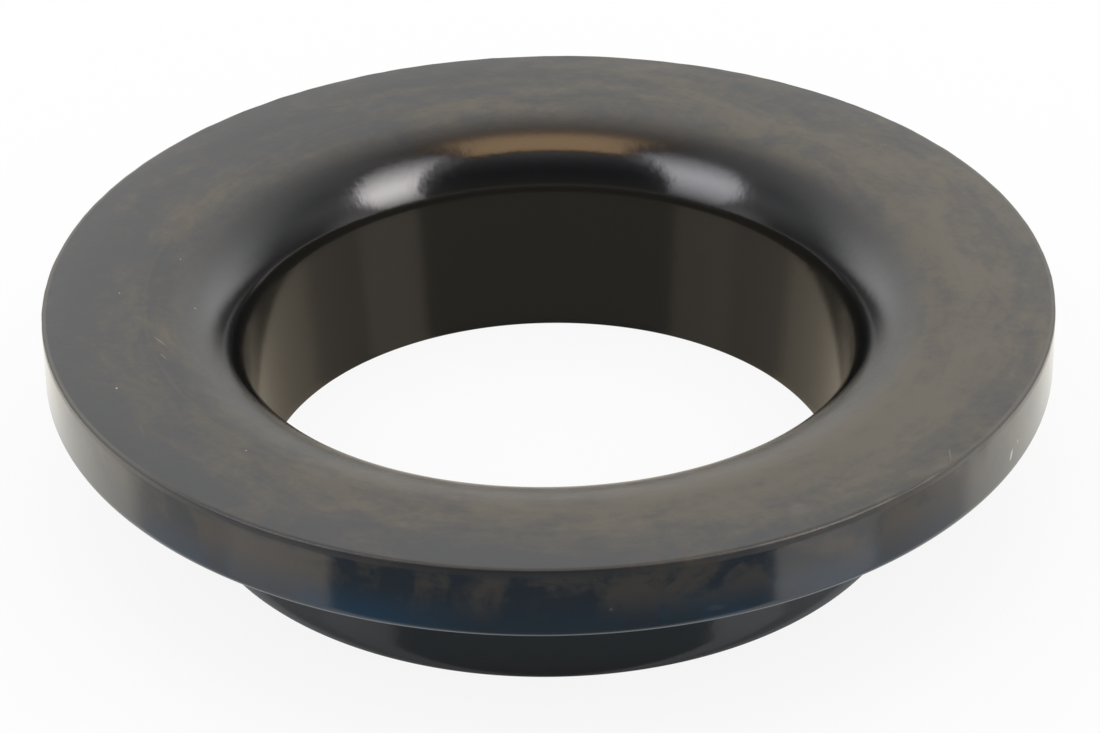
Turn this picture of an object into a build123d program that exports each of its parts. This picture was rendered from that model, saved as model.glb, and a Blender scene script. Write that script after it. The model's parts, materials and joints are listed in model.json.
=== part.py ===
from build123d import *
from math import atan2, cos, degrees, hypot, radians, sin
import os

# Coil spring insulator: one moulded rubber ring that goes between the end of a suspension coil
# spring and its seat. The collar drops inside the end coil, which bears on the underside of the
# flange. The flange's flat top lies against the spring seat, and the bore flares up into it.
# Z is the axis of the ring, and the foot of the collar stands on the XY plane.

# Driving dimensions, in millimetres and degrees
flange_diameter = 127.0
flange_thickness = 9.7
flange_top_radius = 0.8
flange_underside_chamfer = 0.8
collar_diameter = 93.6
overall_height = 27.4
lead_in_height = 2.8
lead_in_inset = 0.8
bore_diameter = 73.4
bore_draft = 5.0
bore_foot_chamfer = 0.3
flare_width = 14.0
flare_depth = 8.4

# Radii and heights that follow from them
flange_radius = flange_diameter / 2
collar_radius = collar_diameter / 2
bore_radius = bore_diameter / 2
underside_height = overall_height - flange_thickness

# The flare is part of an ellipse whose centre lies flare_depth below the top face. It leaves the
# top face flat and runs into the drafted bore wall, so the wall is a tangent of the ellipse.
# tangent_reach is how far that tangent lies from the centre.
draft = radians(bore_draft)
tangent_reach = hypot(flare_width * cos(draft), flare_depth * sin(draft))
flare_centre_height = overall_height - flare_depth
flare_centre_radius = bore_radius + (tangent_reach + flare_centre_height * sin(draft)) / cos(draft)
flare_sweep = 90 - degrees(atan2(flare_depth * sin(draft), flare_width * cos(draft)))

with BuildPart() as insulator_ring:
    with BuildSketch(Plane.XZ):
        with BuildLine():
            flare = EllipticalCenterArc(
                (flare_centre_radius, flare_centre_height),
                flare_width,
                flare_depth,
                start_angle=90,
                arc_size=flare_sweep,
            )
            Line(flare @ 1, (bore_radius, 0))
            Line((bore_radius, 0), (collar_radius - lead_in_inset, 0))
            TangentArc(
                (collar_radius, lead_in_height),
                (collar_radius - lead_in_inset, 0),
                tangent=(0, -1),
            )
            Polyline(
                (collar_radius, lead_in_height),
                (collar_radius, underside_height),
                (flange_radius, underside_height),
                (flange_radius, overall_height),
                flare @ 0,
            )
        make_face()
    revolve(axis=Axis.Z)

    circles = insulator_ring.edges().filter_by(GeomType.CIRCLE)
    flange_rims = circles.group_by(SortBy.RADIUS)[-1].sort_by(Axis.Z)
    bore_foot = circles.group_by(Axis.Z)[0].sort_by(SortBy.RADIUS)[0]
    fillet(flange_rims[-1], flange_top_radius)
    chamfer(flange_rims[0], flange_underside_chamfer)
    chamfer(bore_foot, bore_foot_chamfer)

insulator_ring.part.label = "insulator_ring"

os.makedirs("parts", exist_ok=True)
export_step(insulator_ring.part, "parts/insulator_ring.step")
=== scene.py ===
"""Coil spring insulator: one moulded rubber ring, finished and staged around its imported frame."""

import json
from math import asin, atan2, ceil, cos, hypot, pi, radians, sin, tau

import bmesh
import bpy
from bpy.props import FloatProperty, FloatVectorProperty, IntProperty, PointerProperty
from mathutils import Matrix, Vector


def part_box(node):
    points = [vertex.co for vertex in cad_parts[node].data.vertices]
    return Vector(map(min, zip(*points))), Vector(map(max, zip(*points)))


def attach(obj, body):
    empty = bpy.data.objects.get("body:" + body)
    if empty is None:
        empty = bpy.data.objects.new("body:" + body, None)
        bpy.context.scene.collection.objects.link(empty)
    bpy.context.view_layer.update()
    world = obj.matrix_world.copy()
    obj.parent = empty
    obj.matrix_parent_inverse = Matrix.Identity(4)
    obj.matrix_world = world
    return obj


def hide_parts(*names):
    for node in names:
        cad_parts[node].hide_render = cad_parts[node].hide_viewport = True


bl_info = {
    "name": "Coil Spring Insulator",
    "version": (1, 0, 0),
    "blender": (4, 5, 0),
    "location": "View3D > Sidebar > Insulator",
    "description": "Moulds a flanged rubber coil spring insulator and sets it on a studio stage",
    "category": "Object",
}

NODE = "insulator_ring"
MM = 0.001

# The frame gives the ring's outer sizes, and its mounts give the collar and the ledge over it
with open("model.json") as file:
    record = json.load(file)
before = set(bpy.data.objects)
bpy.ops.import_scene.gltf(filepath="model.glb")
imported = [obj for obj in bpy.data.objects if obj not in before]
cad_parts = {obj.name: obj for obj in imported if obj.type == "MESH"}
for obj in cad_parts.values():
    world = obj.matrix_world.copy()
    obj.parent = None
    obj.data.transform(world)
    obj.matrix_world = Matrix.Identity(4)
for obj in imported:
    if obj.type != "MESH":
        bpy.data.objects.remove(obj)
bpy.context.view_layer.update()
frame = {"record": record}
RING_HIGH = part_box(NODE)[1]
MOUNTS = {mount["name"]: mount for mount in frame["record"]["mounts"]}
COLLAR_RADIUS = MOUNTS["coil_pilot"]["dims"]["r_mm"] * MM
LEDGE_HEIGHT = MOUNTS["coil_seat"]["pos_m"][2]

# How finely the section and the ring are drawn
WALL_STRETCH = 1.4 * MM
COLLAR_STRETCH = 1.2 * MM
TOP_STRETCH = 0.6 * MM
FLARE_STEPS = 40
LEAD_IN_STEPS = 10
CROWN_STEPS = 9
MERGE_REACH = 1e-6
SMOOTH_ANGLE = 40

# The uneven top edge: the middle and half width of its worst stretch in degrees, how much of the
# unevenness is left elsewhere, and how far from the edge it reaches
WORST_AZIMUTH = 42
WORST_SPREAD = 16
LEAST_WOBBLE = 0.22
WOBBLE_REACH = 1.6 * MM

# The skin's zones: what each is measured by, and where it begins and is full, in millimetres.
# Depth is under the flat top, inset is from the rim, rise is above the ledge, lift is above the
# flare's throat, reach is outside the collar, and stray is off the fine line round the top.
ZONE_FADES = {
    "top": ("depth", 2.0, 0.1),
    "hazy": ("depth", 3.0, 1.0),
    "dry": ("depth", 3.7, 2.1),
    "low": ("depth", 3.0, 8.7),
    "under_edge": ("depth", 0.9, 1.3),
    "rim": ("inset", 0.8, 0.2),
    "corner": ("inset", 0.7, 0.4),
    "overhang": ("inset", 3.0, 2.0),
    "outward": ("inset", 13.5, 1.5),
    "low_edge": ("rise", 1.6, 0.8),
    "wall": ("lift", 4.5, -0.5),
    "inner": ("reach", 6.0, 4.0),
    "line": ("stray", 0.3, 0.1),
}

# Noises of the skin: features for each metre, detail, roughness, distortion, and the part used
BLOTCH = (150, 6.0, 0.6, 0.8, (0, 0, 0))
CLOUD = (330, 6.0, 0.7, 0.5, (3, 1, 2))
STREAK = (700, 4.0, 0.65, 0.3, (0, 0, 0))
PATCH = (75, 5.0, 0.6, 0.8, (7, 4, 1))
DRY_SPOTS = (1300, 3.0, 0.5, 0.0, (5, 2, 8))
GRAIN = (900, 2.0, 0.5, 0.0, (0, 0, 0))

# The bloom's tone: shares of the finer noises, and how much browner it gets for each metre to the
# right and to the front, and inwards at the back and at the front. Then where along Y the front
# half begins and is full, and the tones at which brown and blue begin and are full.
CLOUD_SHARE = 0.58
STREAK_SHARE = 0.34
BROWN_TO_RIGHT = 2.6
BROWN_TO_FRONT = 0.7
BROWN_INWARD = (0.14, 0.26)
INWARD_MIDDLE = 0.4
FRONT_HALF = (0.02, -0.05)
BROWN_TONES = (0.42, 0.76)
BLUE_TONES = (0.50, 0.31)
LINE_STRENGTH = 0.22

# The rim's haze: the tones of its patches, and where teal and the painted highlight on the top edge
# lie, in metres
BROWN_PATCHES = (0.38, 0.56)
TEAL_PATCHES = (0.62, 0.42)
TEAL_BETWEEN_PATCHES = 0.35
TEAL_TO_FRONT = (-0.034, -0.050)
TEAL_BESIDE = (0.006, 0.022)
TEAL_IN_MIDDLE = 0.25
FINE_SHARE_OF_PATCHES = 0.5
TRIM_DARKENING = 0.3
# Where the painted highlight on the top edge begins and is full, off the middle
EDGE_HIGHLIGHT_BESIDE = (0.036, 0.056)

# The skin's gloss: the noise levels of dry spots, the unevenness left on the rim, and how the dry
# bloom's glow follows its tone, as a factor and a base
DRY_SPOT_LEVELS = (0.46, 0.62)
RIM_UNEVENNESS = 0.25
GLOW_BY_TONE = (0.8, 0.6)

# Lint, scuffs and pale smears: azimuth in degrees, radius, height, length and width in
# millimetres, turn in degrees, and strength. Those lower than RIM_MARKS_BELOW are on the rim.
RIM_MARKS_BELOW = 25.0
MARK_DEPTH = 0.6 * MM
MARKS = (
    (-66.5, 57.25, 27.4, 0.20, 0.16, 0, 1.0),
    (-44.0, 51.9, 27.4, 0.18, 0.14, 0, 0.5),
    (-76.4, 49.4, 27.2, 1.60, 0.14, 24, 0.22),
    (-72.1, 49.75, 27.2, 1.10, 0.12, 16, 0.20),
    (-101.0, 47.7, 26.9, 0.18, 0.14, 0, 0.5),
    (-90.0, 53.9, 27.4, 0.16, 0.14, 0, 0.6),
    (-88.0, 44.4, 25.9, 0.24, 0.20, 0, 0.3),
    (-56.5, 58.5, 27.4, 0.22, 1.50, 75, 0.04),
    (49.4, 62.0, 27.4, 0.12, 1.60, -49, 0.14),
    (28.9, 59.1, 27.4, 1.50, 1.50, 0, 0.035),
    (60.9, 63.5, 21.0, 0.36, 0.95, 25, 0.8),
    (62.6, 63.5, 21.9, 0.18, 0.40, -20, 0.5),
    (6.0, 63.5, 21.6, 0.30, 0.30, 0, 0.06),
    (17.2, 63.5, 19.9, 1.50, 0.50, 6, 0.02),
)

# What the ring mirrors, as (degrees, level) pairs with levels as shares of the brightest one:
# by elevation at the back and round to the camera, and by azimuth below the horizon
BRIGHTEST = 2.0
DOME_RADIUS = 1.6
BACK_LEVELS = (
    (-20, 0.10), (-4, 0.34), (2, 0.40), (9, 0.42), (20, 0.46), (30, 0.47),
    (38, 0.69), (46, 0.89), (53, 0.90), (60, 0.53), (68, 0.37), (90, 0.32),
)
FLANK_LEVELS = (
    (-14, 0.07), (6, 0.05), (11, 0.11), (15, 0.58), (19, 0.87), (24, 0.86),
    (32, 0.76), (38, 0.60), (46, 0.48), (56, 0.34), (90, 0.28),
)
CEILING_LEVELS = ((38, 0.30), (52, 0.24), (64, 0.34), (90, 0.34))
SIDE_LEVELS = ((-14, 0.10), (2, 0.08), (12, 0.09), (20, 0.16), *CEILING_LEVELS)
NEAR_LEVELS = ((-14, 0.23), (-3, 0.31), (3, 0.41), (10, 0.48), (24, 0.34), *CEILING_LEVELS)
FRONT_LEVELS = (
    (-60, (0.14, 0.16, 0.18)), (-44, (0.12, 0.16, 0.19)), (-29, (0.12, 0.16, 0.20)),
    (-25, 0.20), (5, 0.14), (14, 0.03), (44, 0.03), (56, 0.07), (66, 0.14), (76, 0.28), (90, 0.30),
)
WARM = (0.665, 0.645, 0.60)
DIM = (0.50, 0.49, 0.47)
LOW_LEVELS = (
    (-180, DIM), (-150, (0.70, 0.68, 0.64)), (-109, WARM), (-103, 0.40), (-77, 0.40),
    (-75, 0.50), (-50, 0.48), (50, 0.62), (75, 0.60), (77, 0.38), (103, 0.42),
    (109, WARM), (150, WARM), (180, DIM),
)

# The azimuths over which each list takes over from the one before it, from the back to the sides
# in front, the elevations where the low list does, and the azimuths of the dark camera side
WALLS = (((180, 150), FLANK_LEVELS), ((146, 112), SIDE_LEVELS), ((94, 74), NEAR_LEVELS))
BELOW_HORIZON = (-8, -13)
CAMERA_SIDE = (51, 49)

# How much of the floor's light is left in the ring's own shade, by the distance from its axis
UNDER_RING = (0.43, 0.385, 0.325)
SHADE_LEVELS = (
    (0.0, UNDER_RING), (0.038, UNDER_RING), (0.0455, (0.20, 0.21, 0.23)),
    (0.0475, (0.35, 0.38, 0.43)), (0.0503, (0.52, 0.57, 0.63)),
    (0.067, (0.72, 0.76, 0.80)), (0.079, 1.0),
)
SHADE_DEPTH = 0.3 * MM

# The soft boxes that the ring mirrors, as light_card takes them
CARD_DISTANCE = 1.2
LIGHT_CARDS = (
    {
        "name": "right_strip", "direction": (67.2, 38.5), "size": (0.385, 1.98), "lean": 23,
        "value": (1, 0.96, 0.96), "strength": 10.8, "fades": (0.26, 0.03, 0.60, 0.54),
    },
    {
        "name": "left_strip", "direction": (-67.5, 40), "size": (0.43, 1.94), "lean": -23,
        "value": (0.96, 0.95, 1), "strength": 6.2, "fades": (0.03, 0.12, 0.70, 0.44),
    },
    {
        "name": "warm_ceiling", "direction": (180, 85.8), "size": (0.45, 0.59), "lean": 0,
        "value": (1, 0.67, 0.38), "strength": 3.4, "fades": (0.05, 0.05, 0.28, 0.18),
        "taper": 0.5, "bow": 0.9,
    },
)


def length(name, description, default):
    """A size in metres, shown as a distance in the panel."""
    return FloatProperty(
        name=name,
        description=description,
        default=default,
        min=0.0,
        precision=5,
        subtype="DISTANCE",
        unit="LENGTH",
    )


def angle(name, description, default):
    """An angle that is written in degrees."""
    return FloatProperty(
        name=name,
        description=description,
        default=radians(default),
        subtype="ANGLE",
        unit="ROTATION",
    )


def colour(name, description, default):
    """A colour in linear light."""
    return FloatVectorProperty(
        name=name,
        description=description,
        default=default,
        min=0.0,
        size=3,
        subtype="COLOR",
    )


def amount(name, description, default):
    """A plain number."""
    return FloatProperty(
        name=name, description=description, default=default, min=0.0, precision=3
    )


class InsulatorSizes(bpy.types.PropertyGroup):
    """Sizes of the moulded ring."""

    flange_radius: length("Flange radius", "Outer radius of the flange", RING_HIGH.x)
    overall_height: length("Height", "From the collar's foot to the flange's top", RING_HIGH.z)
    ledge_height: length("Ledge height", "Underside of the flange above the foot", LEDGE_HEIGHT)
    collar_radius: length("Collar radius", "Outer radius of the collar", COLLAR_RADIUS)
    top_edge_radius: length("Top edge radius", "Rounding of the trimmed top edge", 0.00035)
    crown_width: length("Crown width", "How far in from the edge the top begins to fall", 0.006)
    crown_drop: length("Crown drop", "How far the top has fallen at the edge", 0.00018)
    low_edge_radius: length("Low edge radius", "Rounding of the flange's lower edge", 0.0012)
    lead_in_height: length("Lead-in height", "Height of the rounded lead-in", 0.0028)
    lead_in_inset: length("Lead-in inset", "How far the lead-in draws in at the foot", 0.0008)
    bore_radius: length("Bore radius", "Radius of the bore at the foot", 0.0367)
    bore_draft: angle("Bore draft", "Slope of the bore wall", 5.0)
    foot_radius: length("Foot radius", "Rounding of the foot's two edges", 0.0003)
    root_radius: length("Root radius", "Rounding where the collar meets the flange", 0.0006)
    flare_width: length("Flare width", "Radial half axis of the flare", 0.014)
    flare_depth: length("Flare depth", "Vertical half axis of the flare", 0.0084)
    line_radius: length("Line radius", "Of the fine line round the flat top", 0.0507)
    turn_steps: IntProperty(
        name="Turn steps",
        description="Steps of the spin round the axis",
        default=384,
        min=32,
    )
    trim_wobble: length("Trim wobble", "Unevenness of the hand-trimmed top edge", 0.0005)
    trim_grain: length("Trim grain", "Length of one wobble of the trimmed edge", 0.0028)


class InsulatorFinish(bpy.types.PropertyGroup):
    """Colours and gloss of the rubber."""

    rubber: colour("Rubber", "Bare moulded rubber", (0.0036, 0.0042, 0.0056))
    wall: colour("Bore wall", "Brownish rubber of the bore wall", (0.0185, 0.0168, 0.0128))
    grey_bloom: colour("Grey bloom", "Even grey haze of the top", (0.0195, 0.0135, 0.0060))
    brown_bloom: colour("Brown bloom", "Waxy brown haze of the top", (0.053, 0.038, 0.013))
    blue_bloom: colour("Blue bloom", "Thin blue haze of the top", (0.003, 0.005, 0.008))
    # A painted highlight: the top edge's paler colour at the ring's left and right sides
    painted_edge_highlight: colour("Painted edge highlight", "Paler edge at the ring's sides", (0.080, 0.074, 0.063))
    side_brown: colour("Rim brown", "Brown haze on the rim", (0.030, 0.022, 0.014))
    side_blue: colour("Rim blue", "Teal haze low on the rim", (0.003, 0.016, 0.034))
    speck: colour("Speck", "Lint and scuffs", (0.45, 0.46, 0.46))
    top_roughness: amount("Top roughness", "Roughness of the flange's hazy top", 0.28)
    flare_roughness: amount("Flare roughness", "Roughness of the flare", 0.13)
    wall_roughness: amount("Wall roughness", "Roughness of the bore wall", 0.14)
    rim_roughness: amount("Rim roughness", "Roughness of the rim and collar", 0.10)
    edge_roughness: amount("Edge roughness", "Roughness of the rim's lower edge", 0.26)
    trim_roughness: amount("Trim roughness", "Roughness of the cut top edge", 0.45)
    dapple: amount("Dapple", "How much rougher the flare is in its dry spots", 0.02)
    bloom_sheen: amount("Bloom sheen", "Glow of the dry bloom at flat angles", 0.80)
    sheen_roughness: amount("Sheen roughness", "Spread of the dry bloom's glow", 0.3)
    sheen_tint: colour("Sheen tint", "Colour of the dry bloom's glow", (1.0, 0.93, 0.81))
    rubber_ior: amount("IOR", "Refractive index of the skin", 1.6)
    bump_distance: length("Bump distance", "Depth of the skin's fine unevenness", 0.000012)


class InsulatorStudio(bpy.types.PropertyGroup):
    """Camera, floor and lights."""

    lens: FloatProperty(
        name="Lens",
        description="Focal length on a 36 mm sensor",
        default=142.875,
        subtype="DISTANCE_CAMERA",
    )
    camera_distance: length("Camera distance", "From the middle of the top", 0.54898)
    camera_elevation: angle("Camera elevation", "Of its place above the top", 30.3688)
    camera_tilt: angle("Camera tilt", "How far it looks down", 31.4191)
    camera_pan: angle("Camera pan", "How far it looks to the right", 0.0106)
    camera_roll: angle("Camera roll", "Turn about its own axis", 0.8598)
    daylight: amount("Daylight", "Level of the white surroundings", 1.05)
    floor: colour("Floor", "Plain pale floor", (0.94, 0.94, 0.94))
    floor_glow: amount("Floor glow", "Share of plain white in the floor that is seen", 0.88)
    floor_half_width: length("Floor half width", "From the ring to the floor's edge", 9.0)


# Mesh helpers


def select_points(obj, test):
    """Select, in edit mode, the points whose place passes the test."""
    mesh = bmesh.from_edit_mesh(obj.data)
    for point in mesh.verts:
        point.select_set(test(point.co))
    mesh.select_flush_mode()
    bmesh.update_edit_mesh(obj.data)


def near(place):
    """A test for points that lie at one place."""
    return lambda co: (co - place).length < MERGE_REACH


def at(radius, height):
    """A point of the section, which lies in the XZ plane."""
    return Vector((radius, 0.0, height))


def start_piece(name, place):
    """A new mesh object in edit mode, its plane primitive merged to one point."""
    bpy.ops.object.select_all(action="DESELECT")
    bpy.ops.mesh.primitive_plane_add(size=0.001, location=place)
    piece = bpy.context.object
    piece.name = piece.data.name = name
    bpy.ops.object.transform_apply(location=True, rotation=True, scale=True)
    bpy.ops.object.mode_set(mode="EDIT")
    bpy.ops.mesh.select_mode(type="VERT")
    bpy.ops.mesh.select_all(action="SELECT")
    bpy.ops.mesh.merge(type="CENTER")
    return piece


def draw_to(obj, start, end, stretch):
    """Extrude the section's end in a straight line, in stretches no longer than stretch."""
    cuts = ceil((end - start).length / stretch)
    step = (end - start) / cuts
    for index in range(cuts):
        select_points(obj, near(start + step * index))
        bpy.ops.mesh.extrude_vertices_move(TRANSFORM_OT_translate={"value": step})


def draw_arc(obj, start, centre, turn, steps):
    """Spin the section's end about centre, in the section's plane."""
    select_points(obj, near(start))
    bpy.ops.mesh.spin(steps=steps, angle=turn, center=centre, axis=(0, 1, 0))


def round_corner(obj, corner, radius, steps):
    """Round one corner of the section."""
    select_points(obj, near(corner))
    bpy.ops.mesh.bevel(
        offset=radius,
        offset_type="OFFSET",
        segments=steps,
        profile=0.5,
        affect="VERTICES",
        clamp_overlap=False,
    )


def merge_all():
    """Merge the points of the mesh in edit mode that lie on each other."""
    bpy.ops.mesh.select_all(action="SELECT")
    bpy.ops.mesh.remove_doubles(threshold=MERGE_REACH)


# The ring


def draw_section(sizes):
    """Draw the closed section of the ring, beginning where the flare leaves the top face."""
    top = sizes.overall_height
    draft = sizes.bore_draft
    reach = hypot(sizes.flare_width * cos(draft), sizes.flare_depth * sin(draft))
    flare_centre_height = top - sizes.flare_depth
    mouth = sizes.bore_radius + (reach + flare_centre_height * sin(draft)) / cos(draft)
    sweep = pi / 2 - atan2(sizes.flare_depth * sin(draft), sizes.flare_width * cos(draft))

    # The flare is a circle's arc, flattened to the ellipse
    mouth_point = at(mouth, top)
    ring = start_piece("rubber_ring", mouth_point)
    draw_arc(ring, mouth_point, at(mouth, top - sizes.flare_width), sweep, FLARE_STEPS)
    bpy.ops.mesh.select_all(action="SELECT")
    bpy.ops.transform.resize(
        value=(1, 1, sizes.flare_depth / sizes.flare_width),
        center_override=mouth_point,
    )
    throat = at(
        mouth - sizes.flare_width * sin(sweep),
        flare_centre_height + sizes.flare_depth * cos(sweep),
    )

    # Bore wall, foot and the rounded lead-in at the collar's foot
    bore_foot = at(sizes.bore_radius, 0)
    collar_foot = at(sizes.collar_radius - sizes.lead_in_inset, 0)
    draw_to(ring, throat, bore_foot, WALL_STRETCH)
    draw_to(ring, bore_foot, collar_foot, WALL_STRETCH)
    height, inset = sizes.lead_in_height, sizes.lead_in_inset
    lead_in_radius = (height**2 + inset**2) / (2 * inset)
    lead_in_centre = at(sizes.collar_radius - lead_in_radius, height)
    lead_in_turn = asin(height / lead_in_radius)
    draw_arc(ring, collar_foot, lead_in_centre, lead_in_turn, LEAD_IN_STEPS)

    # Collar, ledge, rim and the top, which falls a little towards its edge
    collar_start = at(sizes.collar_radius, height)
    root = at(sizes.collar_radius, sizes.ledge_height)
    ledge_edge = at(sizes.flange_radius, sizes.ledge_height)
    crown_start = at(sizes.flange_radius - sizes.crown_width, top)
    top_edge = at(sizes.flange_radius, top - sizes.crown_drop)
    crown_radius = (sizes.crown_width**2 + sizes.crown_drop**2) / (2 * sizes.crown_drop)
    crown_centre = crown_start - Vector((0, 0, crown_radius))
    crown_turn = asin(sizes.crown_width / crown_radius)
    draw_to(ring, collar_start, root, COLLAR_STRETCH)
    draw_to(ring, root, ledge_edge, WALL_STRETCH)
    draw_to(ring, ledge_edge, top_edge, WALL_STRETCH)
    draw_arc(ring, top_edge, crown_centre, crown_turn, CROWN_STEPS)
    draw_to(ring, crown_start, mouth_point, TOP_STRETCH)
    merge_all()

    round_corner(ring, top_edge, sizes.top_edge_radius, steps=4)
    round_corner(ring, ledge_edge, sizes.low_edge_radius, steps=8)
    round_corner(ring, root, sizes.root_radius, steps=5)
    round_corner(ring, bore_foot, sizes.foot_radius, steps=4)
    round_corner(ring, collar_foot, sizes.foot_radius / 2, steps=3)
    return ring


def trim_edge(ring, sizes):
    """Make the top edge uneven, as a trimmed moulding is, mostly along one stretch."""
    group = ring.vertex_groups.new(name="trimmed_edge")
    for point in ring.data.vertices:
        inset = sizes.flange_radius - hypot(point.co.x, point.co.y)
        away = hypot(inset, sizes.overall_height - point.co.z) / WOBBLE_REACH
        if away < 1:
            off_worst = abs(atan2(point.co.x, -point.co.y) - radians(WORST_AZIMUTH))
            worst = max(0.0, 1 - off_worst / radians(WORST_SPREAD)) ** 0.5
            weight = min(1.0, LEAST_WOBBLE + worst) * (1 - away**2) ** 2
            group.add([point.index], weight, "REPLACE")
    wobble = bpy.data.textures.new("trim_wobble", type="CLOUDS")
    wobble.noise_scale = sizes.trim_grain
    wobble.noise_depth = 1
    trim = ring.modifiers.new("trim", "DISPLACE")
    trim.texture = wobble
    trim.texture_coords = "LOCAL"
    trim.vertex_group = group.name
    trim.strength = sizes.trim_wobble
    trim.mid_level = 0.5
    bpy.ops.object.modifier_apply(modifier=trim.name)


def mould_ring(sizes):
    """Spin the section into the ring and close its seam."""
    ring = draw_section(sizes)
    bpy.ops.mesh.select_all(action="SELECT")
    bpy.ops.mesh.spin(
        steps=sizes.turn_steps, angle=tau, center=(0, 0, 0), axis=(0, 0, 1)
    )
    merge_all()
    bpy.ops.mesh.normals_make_consistent(inside=False)
    bpy.ops.object.mode_set(mode="OBJECT")
    trim_edge(ring, sizes)
    bpy.ops.object.shade_smooth_by_angle(angle=radians(SMOOTH_ANGLE))
    return ring


# Material helpers


def blank_material(name):
    """A new material and its empty node tree."""
    material = bpy.data.materials.new(name)
    material.use_nodes = True
    material.node_tree.nodes.clear()
    return material, material.node_tree


def add_node(tree, kind, inputs=None, **settings):
    """Add a node, set its properties, and set or link its inputs by name or number."""
    node = tree.nodes.new(kind)
    for key, value in settings.items():
        setattr(node, key, value)
    for key, value in (inputs or {}).items():
        if isinstance(value, bpy.types.NodeSocket):
            tree.links.new(value, node.inputs[key])
        else:
            node.inputs[key].default_value = value
    return node


def show_shader(tree, shader):
    """End a material's tree in a shader node."""
    add_node(tree, "ShaderNodeOutputMaterial", {"Surface": shader.outputs[0]})


def object_place(tree):
    """The place on the object."""
    return add_node(tree, "ShaderNodeTexCoord").outputs["Object"]


def axes_of(tree, place):
    """The X, Y and Z of a place."""
    return add_node(tree, "ShaderNodeSeparateXYZ", {0: place}).outputs


def math_node(tree, operation, *values):
    """The result of a Math node."""
    return add_node(
        tree, "ShaderNodeMath", dict(enumerate(values)), operation=operation
    ).outputs[0]


def vector_node(tree, operation, *values):
    """The vector that a Vector Math node gives."""
    return add_node(
        tree, "ShaderNodeVectorMath", dict(enumerate(values)), operation=operation
    ).outputs["Vector"]


def distance_of(tree, place):
    """How far a place lies from the origin."""
    return add_node(
        tree, "ShaderNodeVectorMath", {0: place}, operation="LENGTH"
    ).outputs["Value"]


def ramp_between(tree, value, low, high, to_low=0.0, to_high=1.0):
    """A value mapped smoothly from one range to another."""
    inputs = {"Value": value, "From Min": low, "From Max": high}
    inputs.update({"To Min": to_low, "To Max": to_high})
    return add_node(
        tree, "ShaderNodeMapRange", inputs, interpolation_type="SMOOTHSTEP"
    ).outputs["Result"]


def mix_colours(tree, factor, first, second):
    """One colour laid over another by a factor."""
    node = add_node(tree, "ShaderNodeMix", data_type="RGBA")
    sockets = (node.inputs[0], node.inputs[6], node.inputs[7])
    for socket, value in zip(sockets, (factor, first, second)):
        if isinstance(value, bpy.types.NodeSocket):
            tree.links.new(value, socket)
        else:
            socket.default_value = value
    return node.outputs[2]


def mix_values(tree, factor, first, second):
    """A value between two others by a factor."""
    inputs = {"Value": factor, "To Min": first, "To Max": second}
    return add_node(tree, "ShaderNodeMapRange", inputs).outputs["Result"]


def noise(tree, place, pattern):
    """A noise value over the piece, from one of the patterns above."""
    scale, detail, roughness, distortion, part = pattern
    inputs = {
        "Vector": vector_node(tree, "ADD", place, part),
        "Scale": scale,
        "Detail": detail,
        "Roughness": roughness,
        "Distortion": distortion,
    }
    return add_node(tree, "ShaderNodeTexNoise", inputs).outputs["Fac"]


def rgba(value):
    """A colour with its alpha."""
    return (*value, 1.0)


# The rubber


def ring_zones(tree, place, sizes):
    """Masks of the ring's zones, and a place that is drawn out along the turn."""
    flat = vector_node(tree, "MULTIPLY", place, (1, 1, 0))
    radius = distance_of(tree, flat)
    height = axes_of(tree, place)["Z"]
    throat = sizes.overall_height - sizes.flare_depth
    off_line = math_node(tree, "SUBTRACT", radius, sizes.line_radius)
    measures = {
        "depth": math_node(tree, "SUBTRACT", sizes.overall_height, height),
        "inset": math_node(tree, "SUBTRACT", sizes.flange_radius, radius),
        "rise": math_node(tree, "SUBTRACT", height, sizes.ledge_height),
        "lift": math_node(tree, "SUBTRACT", height, throat),
        "reach": math_node(tree, "SUBTRACT", radius, sizes.collar_radius),
        "stray": math_node(tree, "ABSOLUTE", off_line),
    }
    zones = {
        name: ramp_between(tree, measures[measure], begins * MM, full * MM)
        for name, (measure, begins, full) in ZONE_FADES.items()
    }
    on_rim = math_node(tree, "MULTIPLY", zones["rim"], zones["under_edge"])
    not_rim = math_node(tree, "SUBTRACT", 1.0, on_rim)
    not_top = math_node(tree, "SUBTRACT", 1.0, zones["top"])
    zones["bore"] = math_node(tree, "MULTIPLY", zones["inner"], not_top)
    zones["rough"] = math_node(tree, "MULTIPLY", zones["hazy"], not_rim)
    zones["dry"] = math_node(tree, "MULTIPLY", zones["dry"], not_rim)
    zones["trim"] = math_node(tree, "MULTIPLY", zones["corner"], not_rim)
    zones["edge"] = math_node(tree, "MULTIPLY", zones["low_edge"], zones["overhang"])

    # Turning by a radian moves this place by only a third of the way along the rim
    third = (sizes.flange_radius / 3,) * 3
    around = vector_node(tree, "MULTIPLY", vector_node(tree, "NORMALIZE", flat), third)
    along = math_node(tree, "ADD", radius, height)
    along = add_node(tree, "ShaderNodeCombineXYZ", {"Z": along}).outputs[0]
    return zones, vector_node(tree, "ADD", around, along)


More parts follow.
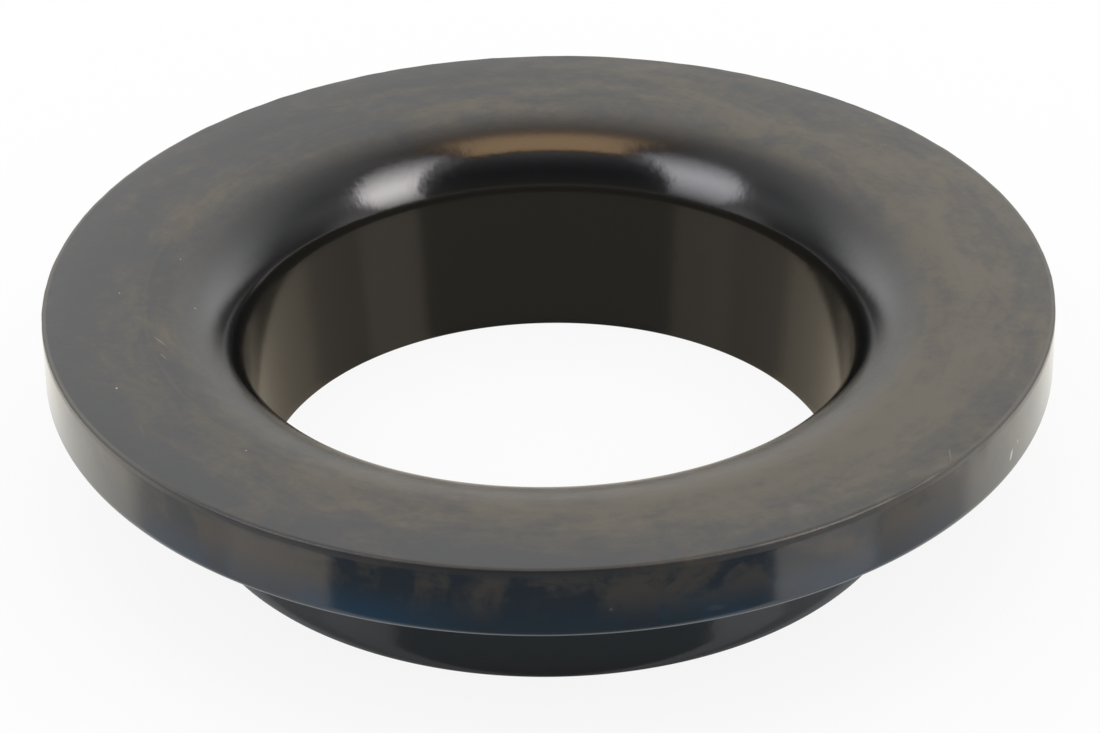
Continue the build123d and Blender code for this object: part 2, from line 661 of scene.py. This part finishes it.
def skin_marks(tree, place):
    """A mask of the lint, scuffs and smears, each a small soft ellipse on the skin."""
    marks = 0.0
    for azimuth, radius, height, long, wide, turn, strength in MARKS:
        facing, turn = radians(azimuth), radians(turn)
        mark = towards(facing, 0) * radius + Vector((0, 0, height))
        if height < RIM_MARKS_BELOW:
            rotation = (0, turn, facing)
            scale = (long * MM, MARK_DEPTH, wide * MM)
        else:
            rotation = (0, 0, facing + turn)
            scale = (long * MM, wide * MM, MARK_DEPTH)
        inputs = {"Vector": place, "Location": mark * MM, "Rotation": rotation, "Scale": scale}
        nearby = add_node(tree, "ShaderNodeMapping", inputs, vector_type="TEXTURE").outputs[0]
        spot = ramp_between(tree, distance_of(tree, nearby), 1.0, 0.4, 0.0, strength)
        marks = math_node(tree, "MAXIMUM", marks, spot)
    return marks


def bloom_noise(tree, place, swirl):
    """The bloom's tone, which is broken up by fine cloud and streaks, and the fine part alone."""
    parts = []
    for value, share in (
        (noise(tree, place, CLOUD), CLOUD_SHARE),
        (noise(tree, swirl, STREAK), STREAK_SHARE),
    ):
        parts.append(math_node(tree, "MULTIPLY", math_node(tree, "SUBTRACT", value, 0.5), share))
    fine = math_node(tree, "ADD", *parts)
    return math_node(tree, "ADD", noise(tree, swirl, BLOTCH), fine), fine


def top_colour(tree, tone, zones, right, back, finish):
    """The top's haze, browner to the right, to the front and towards the flare, the last more so at
    the front.
    """
    to_right = math_node(tree, "MULTIPLY", right, BROWN_TO_RIGHT)
    to_front = math_node(tree, "MULTIPLY", back, -BROWN_TO_FRONT)
    inward = math_node(tree, "SUBTRACT", INWARD_MIDDLE, zones["outward"])
    strength = ramp_between(tree, back, *FRONT_HALF, *BROWN_INWARD)
    inward = math_node(tree, "MULTIPLY", inward, strength)
    for lean in (to_right, to_front, inward):
        tone = math_node(tree, "ADD", tone, lean)
    brown = ramp_between(tree, tone, *BROWN_TONES)
    blue = ramp_between(tree, tone, *BLUE_TONES)
    line = math_node(tree, "MULTIPLY", zones["line"], LINE_STRENGTH)
    top = mix_colours(tree, brown, rgba(finish.grey_bloom), rgba(finish.brown_bloom))
    top = mix_colours(tree, blue, top, rgba(finish.blue_bloom))
    return mix_colours(tree, line, top, rgba(finish.brown_bloom))


def side_colour(tree, fine, place, zones, beside, back, finish):
    """The rim and the collar: brown above and teal below, mostly on both sides of the middle."""
    patch = math_node(tree, "MULTIPLY", fine, FINE_SHARE_OF_PATCHES)
    patch = math_node(tree, "ADD", noise(tree, place, PATCH), patch)
    brown = ramp_between(tree, patch, *BROWN_PATCHES)
    teal = ramp_between(tree, patch, *TEAL_PATCHES, TEAL_BETWEEN_PATCHES)
    for limit in (
        ramp_between(tree, back, *TEAL_TO_FRONT),
        ramp_between(tree, beside, *TEAL_BESIDE, TEAL_IN_MIDDLE),
    ):
        teal = math_node(tree, "MULTIPLY", teal, limit)
    upper = mix_colours(tree, brown, rgba(finish.rubber), rgba(finish.side_brown))
    lower = mix_colours(tree, teal, rgba(finish.rubber), rgba(finish.side_blue))
    return mix_colours(tree, zones["low"], upper, lower)


def skin_roughness(tree, place, zones, finish):
    """The haze of the top scatters the shine, and the walls below it are nearly clear."""
    dry_spots = ramp_between(tree, noise(tree, place, DRY_SPOTS), *DRY_SPOT_LEVELS)
    driest = finish.flare_roughness + finish.dapple
    flare = mix_values(tree, dry_spots, finish.flare_roughness, driest)
    inner = mix_values(tree, zones["wall"], flare, finish.wall_roughness)
    outer = mix_values(tree, zones["edge"], finish.rim_roughness, finish.edge_roughness)
    roughness = mix_values(tree, zones["bore"], outer, inner)
    roughness = mix_values(tree, zones["rough"], roughness, finish.top_roughness)
    return mix_values(tree, zones["trim"], roughness, finish.trim_roughness)


def rubber_material(finish, sizes):
    """Glossy black rubber with a brown and blue bloom on its skin."""
    material, tree = blank_material("glossy_black_rubber")
    place = object_place(tree)
    right, back, _ = axes_of(tree, place)
    beside = math_node(tree, "ABSOLUTE", right)
    zones, swirl = ring_zones(tree, place, sizes)
    tone, fine = bloom_noise(tree, place, swirl)

    # Colour of the outside and the bore, with the trimmed edge, a painted highlight on the top edge
    # at the ring's sides and the marks laid over it
    side = side_colour(tree, fine, place, zones, beside, back, finish)
    top = top_colour(tree, tone, zones, right, back, finish)
    outside = mix_colours(tree, zones["top"], side, top)
    darker = math_node(tree, "MULTIPLY", zones["trim"], TRIM_DARKENING)
    outside = mix_colours(tree, darker, outside, rgba(finish.rubber))
    # Painted highlight: the top edge is paler at the ring's left and right sides
    edge_highlight = math_node(tree, "MULTIPLY", zones["trim"], ramp_between(tree, beside, *EDGE_HIGHLIGHT_BESIDE))
    outside = mix_colours(tree, edge_highlight, outside, rgba(finish.painted_edge_highlight))
    bore = mix_colours(tree, zones["wall"], rgba(finish.rubber), rgba(finish.wall))
    base = mix_colours(tree, zones["bore"], outside, bore)
    base = mix_colours(tree, skin_marks(tree, place), base, rgba(finish.speck))

    # The skin is less uneven on the rim and the collar
    off_rim = math_node(tree, "MAXIMUM", zones["bore"], zones["top"])
    uneven = mix_values(tree, off_rim, RIM_UNEVENNESS, 1.0)
    height = math_node(tree, "MULTIPLY", noise(tree, place, GRAIN), uneven)
    bump = add_node(tree, "ShaderNodeBump", {"Height": height, "Distance": finish.bump_distance})

    # The dry bloom glows a little where it is seen at a flat angle
    glow = math_node(tree, "MULTIPLY", zones["dry"], finish.bloom_sheen)
    glow = math_node(tree, "MULTIPLY", glow, math_node(tree, "MULTIPLY_ADD", tone, *GLOW_BY_TONE))
    shader = add_node(
        tree,
        "ShaderNodeBsdfPrincipled",
        {
            "Base Color": base,
            "Roughness": skin_roughness(tree, place, zones, finish),
            "Normal": bump.outputs[0],
            "IOR": finish.rubber_ior,
            "Sheen Weight": glow,
            "Sheen Roughness": finish.sheen_roughness,
            "Sheen Tint": rgba(finish.sheen_tint),
        },
    )
    show_shader(tree, shader)
    return material


# The stage


def towards(azimuth, elevation):
    """The direction at an elevation and an azimuth, from the camera's side round to the right."""
    level = cos(elevation)
    return Vector((sin(azimuth) * level, -cos(azimuth) * level, sin(elevation)))


def add_shape(name, add_primitive, **settings):
    """Add a primitive of the stage as an object of its own."""
    bpy.ops.object.select_all(action="DESELECT")
    add_primitive(**settings)
    shape = bpy.context.object
    shape.name = name
    return shape


def subdivide(cuts):
    """Cut the sides of the active plane into shorter ones."""
    bpy.ops.object.mode_set(mode="EDIT")
    bpy.ops.mesh.subdivide(number_cuts=cuts)
    bpy.ops.object.mode_set(mode="OBJECT")


def show_only_in_gloss(obj):
    """Let the ring mirror a shape that neither shows nor lights or shades anything else."""
    obj.visible_camera = False
    obj.visible_diffuse = False
    obj.visible_transmission = False
    obj.visible_volume_scatter = False
    obj.visible_shadow = False


def glowing(name, value, strength, size, fades, taper, bow):
    """A soft box's light, which falls off towards the borders of its card."""
    material, tree = blank_material(name)
    across, up, _ = axes_of(tree, object_place(tree))
    width, height = size
    first_fade, last_fade, low_fade, high_fade = fades
    widening = math_node(tree, "MULTIPLY_ADD", up, taper / height, 1.0)
    side = math_node(tree, "DIVIDE", across, widening)
    squared = math_node(tree, "POWER", math_node(tree, "ABSOLUTE", across), 2.0)
    arc = math_node(tree, "MULTIPLY_ADD", squared, bow, -bow * (width / 2) ** 2)
    lifted = math_node(tree, "ADD", up, arc)
    level = strength
    for part, extent, fade in (
        (side, -width, first_fade),
        (side, width, last_fade),
        (lifted, -height, low_fade),
        (up, height, high_fade),
    ):
        fading = ramp_between(tree, part, extent / 2, extent * (0.5 - fade))
        level = math_node(tree, "MULTIPLY", level, fading)
    show_shader(tree, add_node(tree, "ShaderNodeEmission", {0: rgba(value), 1: level}))
    return material


def light_card(name, direction, size, lean, value, strength, fades, taper=0.0, bow=0.0):
    """A flat glowing card that faces the ring.

    Its width and height are for each metre of distance, lean turns the card about the line to the
    ring, and fades are the shares of its size over which its two sides, the lower end and the
    upper end fade out, where the first side is the one at the larger azimuth. Taper widens the
    upper end and narrows the lower one, and bow curves the lower end's middle upwards.
    """
    azimuth, elevation = (radians(part) for part in direction)
    width, height = (part * CARD_DISTANCE for part in size)
    outward = towards(azimuth, elevation)
    east = Vector((cos(azimuth), sin(azimuth), 0))
    up = east.cross(outward) * -1
    facing = Matrix((-east, up, -outward)).transposed() @ Matrix.Rotation(radians(lean), 3, "Z")
    card = add_shape(
        name,
        bpy.ops.mesh.primitive_plane_add,
        size=1,
        location=outward * CARD_DISTANCE,
        rotation=facing.to_euler(),
    )
    subdivide(cuts=1)
    card.scale = (width * (1 + taper / 2), height, 1)
    bpy.ops.object.transform_apply(location=False, rotation=False, scale=True)
    light = glowing(name, value, strength, (width, height), fades, taper, bow)
    card.data.materials.append(light)
    show_only_in_gloss(card)


def curve_of(tree, value, points):
    """A value read off a chain of (input, output) points, with straight lines between them."""
    low, high = points[0][0], points[-1][0]
    inputs = {"Value": value, "From Min": low, "From Max": high}
    share = add_node(tree, "ShaderNodeMapRange", inputs).outputs[0]
    curve = add_node(tree, "ShaderNodeValToRGB", {0: share})
    elements = curve.color_ramp.elements
    while len(elements) < len(points):
        elements.new(0.5)
    for element, (place, level) in zip(elements, points):
        element.position = (place - low) / (high - low)
        element.color = rgba(level if isinstance(level, tuple) else (level,) * 3)
    return curve.outputs["Color"]


def surroundings():
    """The studio that the ring mirrors: a white room, dark round the camera, as one large dome."""
    dome = add_shape(
        "surroundings",
        bpy.ops.mesh.primitive_uv_sphere_add,
        segments=96,
        ring_count=48,
        radius=DOME_RADIUS,
    )
    material, tree = blank_material("surroundings")
    right, back, height = axes_of(tree, object_place(tree))
    around = math_node(tree, "ARCTAN2", right, math_node(tree, "MULTIPLY", back, -1.0))
    azimuth = math_node(tree, "DEGREES", math_node(tree, "ABSOLUTE", around))
    upward = math_node(tree, "ARCSINE", math_node(tree, "DIVIDE", height, DOME_RADIUS))
    elevation = math_node(tree, "DEGREES", upward)

    light = curve_of(tree, elevation, BACK_LEVELS)
    for turn, levels in WALLS:
        wall = curve_of(tree, elevation, levels)
        light = mix_colours(tree, ramp_between(tree, azimuth, *turn), light, wall)
    low = curve_of(tree, math_node(tree, "DEGREES", around), LOW_LEVELS)
    light = mix_colours(tree, ramp_between(tree, elevation, *BELOW_HORIZON), light, low)
    front = curve_of(tree, elevation, FRONT_LEVELS)
    light = mix_colours(tree, ramp_between(tree, azimuth, *CAMERA_SIDE), light, front)
    show_shader(tree, add_node(tree, "ShaderNodeEmission", {0: light, 1: BRIGHTEST}))
    dome.data.materials.append(material)
    show_only_in_gloss(dome)


def contact_shade():
    """A thin veil under the ring, so that it mirrors a floor that lies in its own shade."""
    veil = add_shape(
        "contact_shade",
        bpy.ops.mesh.primitive_circle_add,
        vertices=96,
        radius=SHADE_LEVELS[-1][0],
        fill_type="TRIFAN",
        location=(0, 0, -SHADE_DEPTH),
    )
    material, tree = blank_material("contact_shade")
    shade = curve_of(tree, distance_of(tree, object_place(tree)), SHADE_LEVELS)
    show_shader(tree, add_node(tree, "ShaderNodeBsdfTransparent", {"Color": shade}))
    veil.data.materials.append(material)
    show_only_in_gloss(veil)


def lay_floor(studio):
    """A plain pale floor under the ring's foot, clear from below to leave the underside in view."""
    floor = add_shape(
        "floor", bpy.ops.mesh.primitive_plane_add, size=2 * studio.floor_half_width
    )
    subdivide(cuts=3)
    material, tree = blank_material("floor")
    paint = add_node(tree, "ShaderNodeBsdfDiffuse", {"Color": rgba(studio.floor)}).outputs[0]
    white = add_node(tree, "ShaderNodeEmission", {0: (1, 1, 1, 1), 1: 1.0}).outputs[0]
    path = add_node(tree, "ShaderNodeLightPath").outputs
    seen = math_node(tree, "MAXIMUM", path["Is Camera Ray"], path["Is Glossy Ray"])
    seen = math_node(tree, "MAXIMUM", seen, path["Is Transmission Ray"])
    share = math_node(tree, "MULTIPLY", seen, studio.floor_glow)
    paint = add_node(tree, "ShaderNodeMixShader", {0: share, 1: paint, 2: white}).outputs[0]
    clear = add_node(tree, "ShaderNodeBsdfTransparent").outputs[0]
    from_below = add_node(tree, "ShaderNodeNewGeometry").outputs["Backfacing"]
    show_shader(tree, add_node(tree, "ShaderNodeMixShader", {0: from_below, 1: paint, 2: clear}))
    floor.data.materials.append(material)
    floor.visible_glossy = False


def light_world(studio):
    """White surroundings at a plain level."""
    world = bpy.data.worlds.new("white_room")
    bpy.context.scene.world = world
    world.use_nodes = True
    background = world.node_tree.nodes["Background"]
    background.inputs["Color"].default_value = (1, 1, 1, 1)
    background.inputs["Strength"].default_value = studio.daylight


def aim_camera(studio):
    """The camera at the photograph's angle."""
    data = bpy.data.cameras.new("camera")
    data.lens = studio.lens
    data.sensor_width = 36
    data.clip_start = 0.01
    data.clip_end = 20
    camera = bpy.data.objects.new("camera", data)
    bpy.context.scene.collection.objects.link(camera)
    target = Vector((0, 0, RING_HIGH.z))
    camera.location = target + towards(0, studio.camera_elevation) * studio.camera_distance
    turned = (
        Matrix.Rotation(-studio.camera_pan, 3, "Z")
        @ Matrix.Rotation(pi / 2 - studio.camera_tilt, 3, "X")
        @ Matrix.Rotation(-studio.camera_roll, 3, "Z")
    )
    camera.rotation_euler = turned.to_euler()
    bpy.context.scene.camera = camera


# Operators and panel


class INSULATOR_OT_mould_ring(bpy.types.Operator):
    """Model the ring's section, spin it, trim it and dress it in rubber"""

    bl_idname = "insulator.mould_ring"
    bl_label = "Mould ring"

    def execute(self, context):
        sizes = context.scene.insulator_sizes
        ring = mould_ring(sizes)
        ring.data.materials.append(rubber_material(context.scene.insulator_finish, sizes))
        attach(ring, "root")
        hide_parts(NODE)
        return {"FINISHED"}


class INSULATOR_OT_set_stage(bpy.types.Operator):
    """Lay the floor, light the room, place the cards and aim the camera"""

    bl_idname = "insulator.set_stage"
    bl_label = "Set stage"

    def execute(self, context):
        studio = context.scene.insulator_studio
        lay_floor(studio)
        light_world(studio)
        surroundings()
        contact_shade()
        for card in LIGHT_CARDS:
            light_card(**card)
        aim_camera(studio)
        return {"FINISHED"}


class VIEW3D_PT_insulator(bpy.types.Panel):
    """Lists the insulator's steps and settings"""

    bl_label = "Coil Spring Insulator"
    bl_idname = "VIEW3D_PT_insulator"
    bl_space_type = "VIEW_3D"
    bl_region_type = "UI"
    bl_category = "Insulator"

    def draw(self, context):
        layout = self.layout
        for title, settings, step in (
            ("Ring", context.scene.insulator_sizes, INSULATOR_OT_mould_ring.bl_idname),
            ("Rubber", context.scene.insulator_finish, None),
            ("Studio", context.scene.insulator_studio, INSULATOR_OT_set_stage.bl_idname),
        ):
            box = layout.box()
            box.label(text=title)
            for name in settings.__annotations__:
                box.prop(settings, name)
            if step:
                box.operator(step)


CLASSES = (
    InsulatorSizes,
    InsulatorFinish,
    InsulatorStudio,
    INSULATOR_OT_mould_ring,
    INSULATOR_OT_set_stage,
    VIEW3D_PT_insulator,
)


def register():
    """Register the classes and their settings."""
    for cls in CLASSES:
        bpy.utils.register_class(cls)
    bpy.types.Scene.insulator_sizes = PointerProperty(type=InsulatorSizes)
    bpy.types.Scene.insulator_finish = PointerProperty(type=InsulatorFinish)
    bpy.types.Scene.insulator_studio = PointerProperty(type=InsulatorStudio)


def unregister():
    """Remove the classes and their settings."""
    del bpy.types.Scene.insulator_studio
    del bpy.types.Scene.insulator_finish
    del bpy.types.Scene.insulator_sizes
    for cls in reversed(CLASSES):
        bpy.utils.unregister_class(cls)


def main():
    register()
    bpy.ops.insulator.mould_ring()
    bpy.ops.insulator.set_stage()
    bpy.context.scene.view_settings.view_transform = "Standard"


if __name__ == "__main__":
    main()
